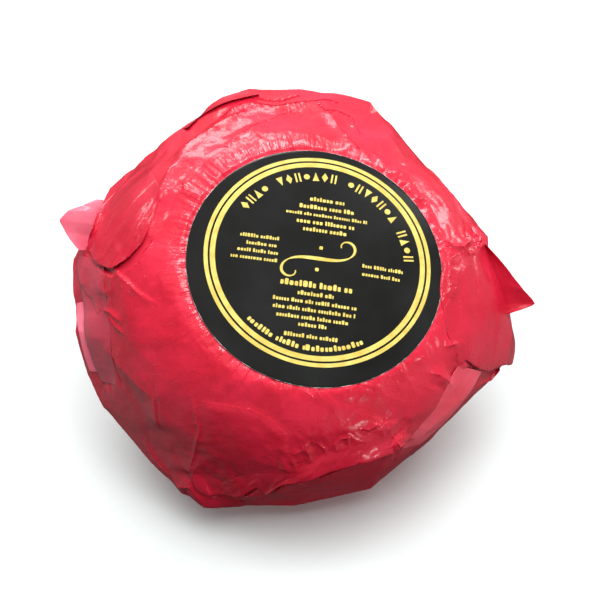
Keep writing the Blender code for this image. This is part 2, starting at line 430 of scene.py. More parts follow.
def spare_share(points):
    """How much longer than its smooth shape the film is, at each point."""
    share = np.zeros(len(points))
    for azimuth, latitude, reach, most in SPARE:
        middle = np.array(place(azimuth, latitude, SPARE_RADIUS))
        gap = np.linalg.norm(points - middle, axis=1) / (reach * MM)
        share = np.maximum(share, most * np.exp(-gap ** 2))
    near_rim = (1 - smooth_ramp(rim_distance(points), 0.002, 0.012)) * (points[:, 2] > 0)
    below = smooth_ramp(-points[:, 2], 0.02, 0.05)
    return np.maximum(np.maximum(share, SPARE_AT_RIM * near_rim), SPARE_BELOW * below)


def crumple_share(points):
    """How crumpled the film is at each point, from 0 to 1."""
    return np.clip(spare_share(points) / SPARE_MOST, 0, 1)


def facet_relief(points, size, seed):
    """Heights of about -0.5 to 0.5, flat within random facets, with creases between them."""
    rng = np.random.default_rng(seed)
    low = points.min(0) - size
    high = points.max(0) + size
    spans = [np.arange(start, end, size) for start, end in zip(low, high)]
    middles = np.stack(np.meshgrid(*spans, indexing="ij"), -1).reshape(-1, 3)
    middles += rng.uniform(-0.45, 0.45, middles.shape) * size
    slopes = unit(rng.normal(size=middles.shape))
    tree = KDTree(len(middles))
    for number, middle in enumerate(middles):
        tree.insert(middle, number)
    tree.balance()
    found = [tree.find_n(point, 3) for point in points]
    index = np.array([[item[1] for item in trio] for trio in found])
    gap = np.array([[item[2] for item in trio] for trio in found])
    heights = ((points[:, None, :] - middles[index]) * slopes[index]).sum(2) / size
    weight = np.exp(-(gap - gap[:, :1]) / (0.09 * size))
    return (heights * weight).sum(1) / weight.sum(1)


def busy(points):
    """Points on a crease or in crumpled film, which get the finest mesh."""
    found = crumple_share(points) > BUSY_CRUMPLE
    ways = unit(points)
    for crease in CREASES:
        path = crease[-1]
        found |= nearest_on_path(ways, path)[0] < BUSY_GAP
    return found


def worth_splitting(points, tris, size):
    """Triangles to refine: at first all, then those that show, and last the busy ones."""
    chosen = np.ones(len(tris), bool)
    if size < FINE_SIZE:
        hidden = (rim_distance(points) < HIDDEN_RIM) & (points[:, 2] > 0) | (points[:, 2] < HIDDEN_HEIGHT)
        chosen = ~hidden[tris].all(1)
    if size < FINEST_SIZE:
        chosen &= busy(points)[tris].any(1)
    return chosen


def crumple_film(points):
    """Facets all over, stronger where there is film to spare, and kept under the label."""
    ways = unit(points)
    top = points[:, 2] > 0
    calm = smooth_ramp(np.where(top, rim_distance(points), 1), 0.000, 0.012)
    rim_calm = 0.3 + 0.7 * calm
    spare = crumple_share(points) ** 1.5 * (points[:, 2] > -0.03)
    latitude = np.arcsin(ways[:, 2]) * BALL_RADIUS
    drawn_up = np.stack([points[:, 0] / 3.2, points[:, 1] / 3.2, latitude], 1)
    behind = 0.15 + 0.85 * smooth_ramp(ways[:, 1], -0.35, 0.35)
    behind *= 1 - 0.6 * smooth_ramp(ways[:, 0], 0.25, 0.6)
    size, height = BROAD_FACETS
    relief = facet_relief(points, size, 1) * height * calm
    size, height = LONG_FACETS
    relief += facet_relief(drawn_up, size, 6) * height * calm * behind
    for seed, (size, height, more) in ((2, SMALL_FACETS), (3, FINE_FACETS)):
        relief += facet_relief(points, size, seed) * (height + more * spare) * rim_calm
    points = points + ways * relief[:, None]
    rim = rim_distance(points)
    ceiling = CAP_HEIGHT - (rim + LABEL_RADIUS) ** 2 / (2 * CAP_RADIUS) - 0.0001
    ceiling += 0.6 * np.clip(rim - 0.0006, 0, 1)
    points[:, 2] = np.where(top, np.minimum(points[:, 2], ceiling), points[:, 2])
    return points


def film_points():
    """The film's points and triangles: settled, then folded and crumpled."""
    rng = np.random.default_rng(11)
    points, tris, drawn = coarse_film(rng)
    for size, steps, even, part, bend_stiffness in LEVELS:
        under_label = (points[:, 2] > 0) & (rim_distance(points) < 0.0002)
        patchy = np.array([0.5 + 0.9 * noise.noise(Vector(point) / PATCH_SIZE) for point in points])
        spare = np.maximum(spare_share(points) * part, even * np.clip(patchy, 0, 2))
        spare = np.where(under_label, 0, spare)
        nudge = np.sqrt(spare) * size * MM * rng.uniform(-0.6, 1, len(points))
        held = under_label.copy()
        if size > FINE_SIZE:
            held[:len(drawn)] |= drawn
        nudged = points + unit(points) * np.where(held, 0, nudge)[:, None]
        points = relax(nudged, tris, spare, held, inner_radius(points), steps, bend_stiffness)
        points, tris = split_triangles(points, tris, worth_splitting(points, tris, size), rng)
    return crumple_film(fold_film(points)), tris


# ---- objects
FILM_SHARP = 32  # degrees: edges sharper than this stay sharp
LABEL_SHARP = 40


def add_object(name, data, finishes, sharp):
    """An object from finished mesh data, smooth but for its sharp edges."""
    for finish in finishes:
        data.materials.append(finish)
    data.shade_smooth()
    data.set_sharp_from_angle(angle=radians(sharp))
    made = bpy.data.objects.new(name, data)
    bpy.context.scene.collection.objects.link(made)
    return made


def lying(points):
    """Points of the ball's frame as they lie, with the underside pressed flat on the floor."""
    turned = points @ np.array(BALL.to_3x3()).T + np.array(BALL.translation)
    turned[:, 2] = np.maximum(turned[:, 2], 0)
    return turned


def film_object(name, points, faces, finish):
    """A piece of film, from points in the ball's frame."""
    data = bpy.data.meshes.new(name)
    data.from_pydata(lying(points).tolist(), [], faces.tolist())
    data.validate()
    return add_object(name, data, [finish], FILM_SHARP)


def label_object(name, mesh, finishes):
    """A piece of the label, from a bmesh in the ball's frame."""
    data = bpy.data.meshes.new(name)
    bmesh.ops.recalc_face_normals(mesh, faces=mesh.faces)
    bmesh.ops.transform(mesh, matrix=BALL, verts=mesh.verts)
    mesh.to_mesh(data)
    mesh.free()
    return add_object(name, data, finishes, LABEL_SHARP)


# ---- free layers of film
# Each layer: (finish, crumple in mm, rows from root to free edge), each row a list of
# (azimuth, latitude, lift above the film in mm), with the same number of places in every row.
FLAPS = {
    "ear_left_film": ("red", 0.6, [
        [(166, 31, -0.4), (163, 32, -0.4), (158, 31, -0.4), (154, 30, -0.4), (150, 26, -0.4),
         (146, 20, -0.4), (143, 14, -0.4), (141, 5, -0.2)],
        [(170, 32, 0.0), (174, 32, 0.2), (175, 29, 0.6), (174, 25, 1.2), (172, 19, 2.2), (165, 15, 2.5),
         (158, 10, 2), (152, 7, 1)],
        [(172, 32, 0.1), (178, 30, 0.8), (-178, 26, 1.5), (-177, 21, 2), (179, 15, 2.6), (173, 10, 3.8),
         (168, 12, 4.4), (159, 8, 4.8)]]),
    # Painted light: the tip wears the paler copy of the red film, for the light shining through it.
    "ear_left_tip": ("pale", 0.1, [
        [(171, 5, -3.5), (167, 6, -2.5), (164, 8, -1), (161, 9, 1.5), (160, 10, 3.5), (158, 11, 4.5)],
        [(173, 8, 4.2), (169, 8, 10.5), (167, 9, 15), (164, 9, 14.2), (161, 8, 10.5), (158, 9, 6.6)]]),
    "ear_right_film": ("red", 0.15, [
        [(15, 17, -1), (10, 16, -0.5), (6, 15, -0.5), (2, 13, -0.5), (-2, 11, -0.5), (-6, 10, -1)],
        [(13, 19, 1.5), (8, 19, 6), (3, 17, 9.5), (-1, 16, 13), (-4, 15, 16), (-6, 13, 6.5)]]),
    "collar_film": ("red", 0.2, [
        [(129, 8, -0.4), (124, 7, -0.5), (119, 9, -0.5), (114, 10, -0.5), (109, 10, -0.5), (104, 9, -0.5)],
        [(127, 19, 0.3), (122, 18, 0.4), (117, 21, 0.5), (112, 22, 0.5), (107, 23, 0.3), (103, 22, 0.0)]]),
    # Painted haze: this strip wears the hazier copy of the red film, with reflected light painted in.
    "strip_upper_film": ("painted_haze", 0.12, [
        [(178, 15, -0.3), (-177, 17, -0.3), (-172, 17, -0.3), (-168, 16, -0.3), (-165, 13, -0.3)],
        [(173, 5, 1.5), (176, 4, 2), (-178, 6, 2), (-173, 9, 1.5), (-168, 11, 1)]]),
    # Painted haze: this strip wears the hazier copy of the red film, with reflected light painted in.
    "strip_long_film": ("painted_haze", 0.15, [
        [(177, 12, -0.3), (-175, 14, -0.3), (-166, 15, -0.3), (-159, 13, -0.3), (-153, 9, -0.3),
         (-148, 4, -0.3)],
        [(174, 4, 1.4), (-178, 5, 1.6), (-170, 5, 1.8), (-164, 4, 1.8), (-159, 1, 1.6), (-153, -2, 0.8)]]),
    # Painted light: this strip wears the paler copy of the red film, for the light falling on it.
    "strip_pale_film": ("pale", 0.1, [
        [(-174, 5, -0.3), (-169, 5, -0.3), (-164, 4, -0.3), (-159, 2, -0.3), (-155, -1, -0.3)],
        [(-175, 1, 2.2), (-172, 1, 2.8), (-167, 2, 2.8), (-162, 0, 2.4), (-157, -3, 1.2)]]),
    "brow_film": ("red", 0.5, [
        [(-119, 1, -0.4), (-115, 1, -0.4), (-109, 1, -0.4), (-104, 6, -0.4), (-99, 11, -0.4),
         (-94, 15, -0.4), (-88, 17, -0.4), (-81, 20, -0.4), (-74, 22, -0.4), (-68, 24, -0.4),
         (-61, 24, -0.4)],
        [(-114, -6, 1.6), (-111, -6, 2.6), (-108, -5, 3.0), (-103, -2, 2.6), (-100, 3, 2.2),
         (-97, 1, 3.0), (-94, 8, 2.4), (-89, 11, 2.8), (-81, 14, 2.4), (-73, 16, 1.8), (-63, 15, 0.8)]]),
    "skirt_film": ("red", 0.15, [
        [(2, 38, -0.4), (8, 31, -0.4), (12, 24, -0.4), (14, 18, -0.4), (17, 13, -0.6), (20, 10, -0.6),
         (24, 8, -0.6)],
        [(-21, 36, -0.2), (-15, 31, 0.2), (-9, 24, 2), (-6, 18, 4), (-4, 11, 5), (-2, 8, 3), (2, 7, 1)],
        [(-31, 23, -0.2), (-28, 22, 0.6), (-26, 16, 2.0), (-23, 10, 3.6), (-18, 6, 4.6), (-14, 0, 4),
         (-9, -1, 2)]]),
    # Painted light: the band wears the lighter copy of the red film instead of getting more lamp light.
    "band_film": ("light", 0.12, [
        [(-31, 23, -0.3), (-37, 22, -0.3), (-42, 20, -0.3), (-46, 18, -0.3), (-52, 16, -0.3),
         (-59, 12, -0.3)],
        [(-25, 13, 2.8), (-29, 13, 2.8), (-35, 12, 2.6), (-41, 11, 2.0), (-46, 9, 1.0), (-52, 7, 0.4)]]),
    "inner_film": ("red", 0.2, [
        [(-12, 1, -0.3), (-17, 6, -0.3), (-25, 12, -0.3), (-31, 15, -0.3), (-39, 15, -0.3)],
        [(-19, 5, 3.2), (-23, 5, 2.8), (-27, 8, 2.4), (-32, 7, 2.0), (-39, 6, 1.2)]]),
    "corner_film": ("red", 0.3, [
        [(-117, -3, -0.3), (-115, -4, -0.3), (-110, -5, -0.3), (-105, -4, -0.3)],
        [(-116, -9, 1), (-111, -11, 2.5), (-107, -12, 1.5), (-101, -11, 0.5)]]),
}
FLAP_GRAIN = 0.0006
FLAP_THICKNESS = 0.00012


def smooth_row(row, count):
    """Places along a smooth curve through a row: a direction and a lift each."""
    spots = np.array([list(place(azimuth, latitude, 1)) + [lift * MM] for azimuth, latitude, lift in row])
    along = np.linspace(0, len(spots) - 1, count)
    first = np.minimum(along.astype(int), len(spots) - 2)
    part = (along - first)[:, None]
    before, here, there, after = (spots[np.clip(first + step, 0, len(spots) - 1)] for step in (-1, 0, 1, 2))
    leaving = (there - before) * 0.25 * part * (1 - part) ** 2
    arriving = (after - here) * 0.25 * part * part * (1 - part)
    return here + (there - here) * smooth_ramp(part, 0, 1) + leaving - arriving


def row_length(row):
    spots = [place(azimuth, latitude, BALL_RADIUS + lift * MM) for azimuth, latitude, lift in row]
    return sum((there - here).length for here, there in zip(spots, spots[1:]))


def ragged_share(deep, across, crumple):
    """Shares of the way from a layer's root to its ragged edge, over its grid."""
    slow = np.array([noise.noise((column * 0.12, crumple * 9, 0)) for column in range(across)])
    quick = np.array([noise.noise((column * 0.7, crumple * 5, 3)) for column in range(across)])
    ragged = 1 + crumple * (0.08 * slow + 0.09 * quick)
    return np.linspace(0, 1, deep)[:, None] * ragged[None, :]


def mix_rows(rows, share):
    """Places between a layer's rows: on lines through two, or curves through three."""
    if len(rows) == 2:
        weights = [1 - share, share]
    else:
        weights = [(1 - share) * (1 - 2 * share), 4 * share * (1 - share), share * (2 * share - 1)]
    return sum(weight[:, :, None] * row[None] for weight, row in zip(weights, rows))


def settled(radius, rounds=40):
    """A grid of distances with the fine relief smoothed away."""
    for _ in range(rounds):
        wide = np.pad(radius, 1, mode="edge")
        sides = wide[:-2, 1:-1] + wide[2:, 1:-1] + wide[1:-1, :-2] + wide[1:-1, 2:]
        radius = (2 * radius + sides) / 6
    return radius


def flap_relief(deep, across):
    """Heights of small facets over a layer's grid, longer from root to edge than across."""
    row, column = np.mgrid[:deep, :across] * FLAP_GRAIN
    flat = np.stack([column.ravel(), row.ravel() * 0.4, 0 * row.ravel()], 1)
    relief = facet_relief(flat, 0.0055, 4) + 0.25 * facet_relief(flat, 0.0025, 5)
    return relief.reshape(deep, across, 1)


def flap(name, crumple, rows, film_tree, finish):
    """A thin layer that leaves the film at its root and ends in a ragged free edge."""
    across = int(max(row_length(row) for row in rows) / FLAP_GRAIN)
    deep = int(max(row_length(column) for column in zip(*rows)) / FLAP_GRAIN) + 2
    share = ragged_share(deep, across, crumple)
    mixed = mix_rows([smooth_row(row, across) for row in rows], share)
    ways = unit(mixed[:, :, :3])
    lift = mixed[:, :, 3]
    film = [film_tree.ray_cast(Vector(way) * 0.2, -Vector(way))[0].length for way in ways.reshape(-1, 3)]
    film = np.array(film).reshape(deep, across)
    clear = film + 0.15 * np.clip(lift, -MM, MM)
    points = ways * np.maximum(settled(film) + lift, clear)[:, :, None]
    normal = np.cross(np.gradient(points, axis=0), np.gradient(points, axis=1))
    normal /= np.linalg.norm(normal, axis=2)[:, :, None] + 1e-12
    fade = smooth_ramp(share, 0, 0.5)[:, :, None]
    points = points + normal * flap_relief(deep, across) * crumple * MM * fade
    index = np.arange(deep * across).reshape(deep, across)
    faces = np.stack([index[:-1, :-1], index[:-1, 1:], index[1:, 1:], index[1:, :-1]], -1).reshape(-1, 4)
    made = film_object(name, points.reshape(-1, 3), faces, finish)
    body = made.modifiers.new("thickness", "SOLIDIFY")
    body.thickness = FLAP_THICKNESS
    body.offset = 0
    return made


# ---- materials
# The darkest and the lightest colour of the red film, and of three copies of it: two with painted light and
# one with painted haze.
FILM_COLOURS = {
    "red": ((0.50, 0.008, 0.026), (0.64, 0.016, 0.048)),
    # Painted light: a much paler copy of the red film, for the light that shines through thin free layers
    # and falls on them.
    "pale": ((0.86, 0.10, 0.17), (0.92, 0.20, 0.28)),
    # Painted haze: a duller, hazier copy of the red film, with the haze of reflected floor light painted
    # in.
    "painted_haze": ((0.46, 0.03, 0.055), (0.58, 0.06, 0.10)),
    # Painted light: a lighter copy of the red film, for the lit, hazy band at the right.
    "light": ((0.72, 0.05, 0.08), (0.82, 0.10, 0.15)),
}


def new_material(name):
    """A new material, its node tree and its shader."""
    made = bpy.data.materials.new(name)
    made.use_nodes = True
    return made, made.node_tree, made.node_tree.nodes["Principled BSDF"]


def fill(tree, node, values):
    """Link a node's inputs to other nodes' outputs, or give them plain values."""
    for name, value in values.items():
        if isinstance(value, bpy.types.NodeSocket):
            tree.links.new(value, node.inputs[name])
        else:
            node.inputs[name].default_value = value


def math_node(tree, operation, *values):
    node = tree.nodes.new("ShaderNodeMath")
    node.operation = operation
    fill(tree, node, dict(enumerate(values)))
    return node.outputs["Value"]


def vector_node(tree, operation, *values, **more):
    node = tree.nodes.new("ShaderNodeVectorMath")
    node.operation = operation
    fill(tree, node, {**dict(enumerate(values)), **more})
    return node.outputs["Value" if operation in ("DOT_PRODUCT", "LENGTH") else "Vector"]


def spread(tree, value, low, high, to_low, to_high):
    """Map a value from one range to another, and no further."""
    node = tree.nodes.new("ShaderNodeMapRange")
    ends = {"From Min": low, "From Max": high, "To Min": to_low, "To Max": to_high}
    fill(tree, node, {"Value": value, **ends})
    return node.outputs["Result"]


def noise_node(tree, spot, scale, detail=2):
    node = tree.nodes.new("ShaderNodeTexNoise")
    fill(tree, node, {"Vector": spot, "Scale": scale, "Detail": detail})
    return node


def tint(tree, value, dark_at, dark, light_at, light):
    """Colour the surface from dark to light as a value rises."""
    ramp = tree.nodes.new("ShaderNodeValToRGB")
    for stop, position, colour in zip(ramp.color_ramp.elements, (dark_at, light_at), (dark, light)):
        stop.position = position
        stop.color = (*colour, 1)
    fill(tree, ramp, {"Fac": value})
    fill(tree, tree.nodes["Principled BSDF"], {"Base Color": ramp.outputs["Color"]})


def place_in_ball(tree):
    """A shader's place in the ball's frame."""
    here = tree.nodes.new("ShaderNodeTexCoord")
    turned = tree.nodes.new("ShaderNodeMapping")
    back = BALL.inverted()
    fill(tree, turned, {"Location": back.translation, "Rotation": back.to_euler(),
                        "Vector": here.outputs["Object"]})
    return turned.outputs["Vector"]


def crinkle_height(tree, spot):
    """Tiny facets: each cell of a warped pattern slopes its own way."""
    warp = vector_node(tree, "SUBTRACT", noise_node(tree, spot, 200).outputs["Color"], (0.5, 0.5, 0.5))
    shifted = vector_node(tree, "ADD", spot, vector_node(tree, "SCALE", warp, Scale=0.003))
    cells = tree.nodes.new("ShaderNodeTexVoronoi")
    fill(tree, cells, {"Vector": shifted, "Scale": 330})
    way = vector_node(tree, "SUBTRACT", shifted, cells.outputs["Position"])
    slope = vector_node(tree, "SUBTRACT", cells.outputs["Color"], (0.5, 0.5, 0.5))
    return math_node(tree, "MULTIPLY", vector_node(tree, "DOT_PRODUCT", way, slope), 0.06)


def ray_height(tree, spot):
    """Small rays that run out from under the label, weaker at its right."""
    middle = vector_node(tree, "SUBTRACT", spot, (LABEL_OFFSET[0], LABEL_OFFSET[1], 0))
    level = vector_node(tree, "MULTIPLY", middle, (1, 1, 0))
    radius = vector_node(tree, "LENGTH", level)
    around = vector_node(tree, "NORMALIZE", level)
    turned = vector_node(tree, "MULTIPLY", around, (26, 26, 0))
    outwards = tree.nodes.new("ShaderNodeCombineXYZ")
    fill(tree, outwards, {"Z": math_node(tree, "MULTIPLY", radius, 60)})
    rays = noise_node(tree, vector_node(tree, "ADD", turned, outwards.outputs["Vector"]), 1)
    fade = spread(tree, radius, LABEL_RADIUS, LABEL_RADIUS + 0.010, 1, 0)
    parts = tree.nodes.new("ShaderNodeSeparateXYZ")
    fill(tree, parts, {"Vector": around})
    height = spread(tree, parts.outputs["X"], -0.2, 0.7, 0.0006, 0.00015)
    return math_node(tree, "MULTIPLY", math_node(tree, "MULTIPLY", rays.outputs["Fac"], fade), height)


def film_material(name, dark, light):
    """Glossy film: slightly mottled, finely crinkled, and drawn into small rays at the label."""
    made, tree, shader = new_material(name + "_film")
    spot = place_in_ball(tree)
    tint(tree, noise_node(tree, spot, 60, 5).outputs["Fac"], 0.32, dark, 0.70, light)
    grain = noise_node(tree, spot, 900).outputs["Fac"]
    folds = math_node(tree, "ADD", crinkle_height(tree, spot), ray_height(tree, spot))
    bump = tree.nodes.new("ShaderNodeBump")
    fine = math_node(tree, "MULTIPLY", grain, 0.00005)
    fill(tree, bump, {"Strength": 1, "Distance": 1, "Height": math_node(tree, "ADD", folds, fine)})
    fill(tree, shader, {"Roughness": spread(tree, grain, 0.3, 0.7, 0.26, 0.40), "IOR": 1.28,
                        "Coat Weight": 0.45, "Coat Roughness": 0.15,
                        "Normal": bump.outputs["Normal"], "Coat Normal": bump.outputs["Normal"]})
    return made


def label_material():
    """Satin black paper, with a faint cloudy sheen."""
    made, tree, shader = new_material("label_black")
    cloud = noise_node(tree, place_in_ball(tree), 45, 4).outputs["Fac"]
    tint(tree, cloud, 0.35, (0.006, 0.006, 0.0055), 0.68, (0.013, 0.014, 0.013))
    fill(tree, shader, {"Roughness": spread(tree, cloud, 0, 1, 0.14, 0.22), "IOR": 1.3})
    return made


def paper_edge_material():
    """The label's cut edge: grey paper, whiter where it is scuffed."""
    made, tree, shader = new_material("label_edge")
    scuff = noise_node(tree, place_in_ball(tree), 260).outputs["Fac"]
    tint(tree, scuff, 0.5, (0.10, 0.10, 0.10), 0.62, (0.65, 0.63, 0.6))
    fill(tree, shader, {"Roughness": 0.7})
    return made


def print_material():
    """Pale yellow ink, a little uneven."""
    made, tree, shader = new_material("print_yellow")
    uneven = noise_node(tree, place_in_ball(tree), 300).outputs["Fac"]
    tint(tree, uneven, 0.3, (0.62, 0.46, 0.08), 0.7, (0.80, 0.66, 0.17))
    fill(tree, shader, {"Roughness": 0.4})
    return made


# ---- label
# Heights, waves and offsets are in metres, and the shapes of the print in mm.
LABEL_LIFT = 0.00012
LABEL_PAPER = 0.00022
PAPER_WAVE = 0.00010
PRINT_LIFT = 0.00002
PRINT_OFFSET = (0.0009, 0.0020)
PRINT_TURN = -5
LABEL_SECTORS = 240
RINGS = [(39.9, 38.5), (37.8, 36.0)]
ROWS = [
    # (middle x, y, width, block height)
    (1.5, 22.6, 13, 1.7), (1.5, 19.4, 20, 1.7), (1.5, 16.4, 29, 1.3),
    (1.5, 13.4, 21, 1.7), (1.5, 10.5, 16, 1.7),
    (-21, 5.0, 14, 1.4), (-19.8, 2.2, 11.5, 1.4), (-21.2, -0.6, 14.5, 1.4), (-22.2, -3.4, 16.5, 1.4),
    (22.6, -0.6, 14.5, 1.4), (22.2, -3.7, 13.5, 1.4),
    (0, -10.6, 25, 2.3), (0, -14.0, 12.5, 1.6), (0, -17.0, 29, 1.5), (0, -19.9, 28.5, 1.5),
    (0, -22.8, 25.5, 1.5), (0, -25.4, 10, 1.5), (0, -29.4, 19, 1.5),
]
SHORT_BLOCK = 0.74  # of a tall one's height
BORDER_RADIUS = 32.0
BORDER_START = 149
BORDER_END = 9
BORDER_COUNT = 25
BORDER_GAPS = (4, 12, 20)  # places left empty between groups of signs
FOOT_RADIUS = 33.4
FOOT_START = -130
FOOT_END = -58
FOOT_TALL = 2.1
FOOT_SHORT = 1.5
MERGE_GAP = 1e-7


def label_height(x, y):
    """Height of the label's underside; its paper waves a little."""
    wave = noise.noise(Vector((x, y, 0)) / 0.022) * PAPER_WAVE
    return cap_height(sqrt(x * x + y * y)) + LABEL_LIFT + wave


def on_label(x, y, lift):
    """A point given in mm from the label's middle, in the ball's frame."""
    x = LABEL_OFFSET[0] + x * MM
    y = LABEL_OFFSET[1] + y * MM
    return Vector((x, y, label_height(x, y) + lift))


def on_print(x, y):
    """A point given in mm from the print's middle."""
    turn = radians(PRINT_TURN)
    return on_label(
        PRINT_OFFSET[0] / MM + x * cos(turn) - y * sin(turn),
        PRINT_OFFSET[1] / MM + x * sin(turn) + y * cos(turn), LABEL_PAPER + PRINT_LIFT)


def label_paper():
    """The black paper: a domed top, a pale cut edge and an underside."""
    mesh = bmesh.new()
    radius = LABEL_RADIUS / MM
    steps = [*range(2, 43, 4), 44, radius - 0.12, radius]
    turns = [2 * pi * sector / LABEL_SECTORS for sector in range(LABEL_SECTORS)]

    def ring(reach, lift):
        return [mesh.verts.new(on_label(reach * cos(turn), reach * sin(turn), lift)) for turn in turns]

    tops = [ring(reach, LABEL_PAPER - (0.00004 if reach == radius else 0)) for reach in steps]
    rings = tops + [ring(radius, 0), ring(40, 0), ring(20, 0)]
    for number, (upper, lower) in enumerate(zip(rings, rings[1:])):
        for here in range(len(turns)):
            there = (here + 1) % len(turns)
            face = mesh.faces.new((upper[here], lower[here], lower[there], upper[there]))
            face.material_index = 1 if number >= len(steps) - 2 else 0
    for ends in (rings[0], rings[-1]):
        mesh.faces.new(ends)
    return label_object("label_disc", mesh, [label_material(), paper_edge_material()])


def flat_shape(mesh, outline):
    """One printed shape: a flat face through outline points."""
    mesh.faces.new([mesh.verts.new(on_print(x, y)) for x, y in outline])


def print_rings(ink):
    """The two plain rings near the label's edge."""
    mesh = bmesh.new()
    turns = [radians(360 * step / LABEL_SECTORS) for step in range(LABEL_SECTORS + 1)]
    for outer, inner in RINGS:
        for here, there in zip(turns, turns[1:]):
            corners = ((outer, here), (outer, there), (inner, there), (inner, here))
            flat_shape(mesh, [(radius * cos(turn), radius * sin(turn)) for radius, turn in corners])
    bmesh.ops.remove_doubles(mesh, verts=mesh.verts, dist=MERGE_GAP)
    return label_object("label_rings", mesh, [ink])


def block(x, y, width, height):
    """A small block with clipped corners."""
    clip = min(width, height) * 0.22
    w, h = width / 2, height / 2
    return [(x - w + clip, y - h), (x + w - clip, y - h), (x + w, y - h + clip), (x + w, y + h - clip),
            (x + w - clip, y + h), (x - w + clip, y + h), (x - w, y + h - clip), (x - w, y - h + clip)]


def print_rows(ink):
    """Rows of small blocks in groups, where a label has its small print."""
    rng = np.random.default_rng(5)
    mesh = bmesh.new()
    for middle, y, width, height in ROWS:
        x = middle - width / 2
        end = middle + width / 2
        group = rng.integers(3, 9)
        while x < end - 0.4:
            size = min(height * rng.uniform(0.36, 0.7), end - x)
            tall = height * (1 if rng.random() < 0.3 else SHORT_BLOCK)
            flat_shape(mesh, block(x + size / 2, y - (height - tall) / 2, size, tall))
            group -= 1
            x += size + height * (0.17 if group > 0 else 0.55)
            if group == 0:
                group = rng.integers(3, 9)
    return label_object("label_rows", mesh, [ink])


def arc_shape(mesh, radius, degrees, outline):
    """A printed shape on an arc, given in mm along it and outwards."""
    turn = radians(degrees)
    flat_shape(mesh, [((radius + y) * cos(turn) + x * sin(turn), (radius + y) * sin(turn) - x * cos(turn))
                      for x, y in outline])


def border_signs():
    """The border's signs in order, each one a list of outlines."""
    lozenge = [(0, -1.9), (1.15, 0), (0, 1.9), (-1.15, 0)]
    bars = [[(x - 0.32, -1.8), (x + 0.32, -1.8), (x + 0.32, 1.8), (x - 0.32, 1.8)] for x in (-0.7, 0.7)]
    wedge = [(-1.2, -1.7), (1.2, -1.7), (0, 1.8)]
    hanging = [(x, -y) for x, y in reversed(wedge)]
    disc = [(1.1 * cos(pi * step / 6), 1.1 * sin(pi * step / 6)) for step in range(12)]
    return [[lozenge], bars, [wedge], [disc], bars, [hanging], [lozenge], bars, [disc], [wedge]]


def print_arcs(ink):
    """A border of plain signs along the top, and of small blocks along the bottom."""
    mesh = bmesh.new()
    signs = border_signs()
    for number in range(BORDER_COUNT):
        if number in BORDER_GAPS:
            continue
        degrees = BORDER_START - (BORDER_START - BORDER_END) * number / (BORDER_COUNT - 1)
        for outline in signs[number % len(signs)]:
            arc_shape(mesh, BORDER_RADIUS, degrees, outline)
    rng = np.random.default_rng(8)
    degrees = FOOT_START
    while degrees < FOOT_END:
        size = rng.uniform(0.8, 1.5)
        tall = FOOT_TALL if rng.random() < 0.3 else FOOT_SHORT
        arc_shape(mesh, FOOT_RADIUS, degrees, block(0, (FOOT_TALL - tall) / 2, size, tall))
        degrees += (size + (0.4 if rng.random() < 0.84 else 1.3)) / FOOT_RADIUS * 180 / pi
    return label_object("label_arcs", mesh, [ink])


def print_flourish(ink):
    """A pen flourish in the middle: a stroke with a curl at each end, and two dots."""
    mesh = bmesh.new()
    half = 150
    length = 24.0
    drop = 0.5
    part = np.linspace(-1, 1, 2 * half + 1)
    bend = np.cumsum(np.abs(part) ** 1.6 * np.sign(part)) * 0.088
    bend -= bend[half]
    x = np.cumsum(np.cos(bend)) * length / half
    y = np.cumsum(np.sin(bend)) * length / half * 0.9
    x -= x[half]
    y -= y[half]
    width = 0.2 + 0.8 * (1 - np.abs(part)) ** 0.8 * np.abs(np.cos(bend + 0.9))
    across = np.stack([-np.gradient(y), np.gradient(x)], 1)
    across /= np.linalg.norm(across, axis=1)[:, None]
    left = np.stack([x, y], 1) + across * width[:, None]
    right = np.stack([x, y], 1) - across * width[:, None]
    for here in range(2 * half):
        corners = (left[here], right[here], right[here + 1], left[here + 1])
        flat_shape(mesh, [(corner[0], corner[1] - drop) for corner in corners])
    for side in (-1, 1):
        flat_shape(mesh, block(side * 0.4, side * 4.2 - drop, 1.3, 1.3))
    bmesh.ops.remove_doubles(mesh, verts=mesh.verts, dist=MERGE_GAP)
    return label_object("label_flourish", mesh, [ink])


# ---- stage
CAMERA_ELEVATION = 39.0
CAMERA_LENS = 81.7
CAMERA_SENSOR = 36
LABEL_FROM_CAMERA = (0.00567, 0.0128, -0.47003)
FLOOR_SIZE = 3
FLOOR_COLOUR = (0.82, 0.88, 0.87, 1)

# The world's strength above, below and low at the sides, and what is added high up behind.
WORLD_ABOVE = 0.30
WORLD_BELOW = 0.05
WORLD_SIDES = 0.42
WORLD_BEHIND = 0.6

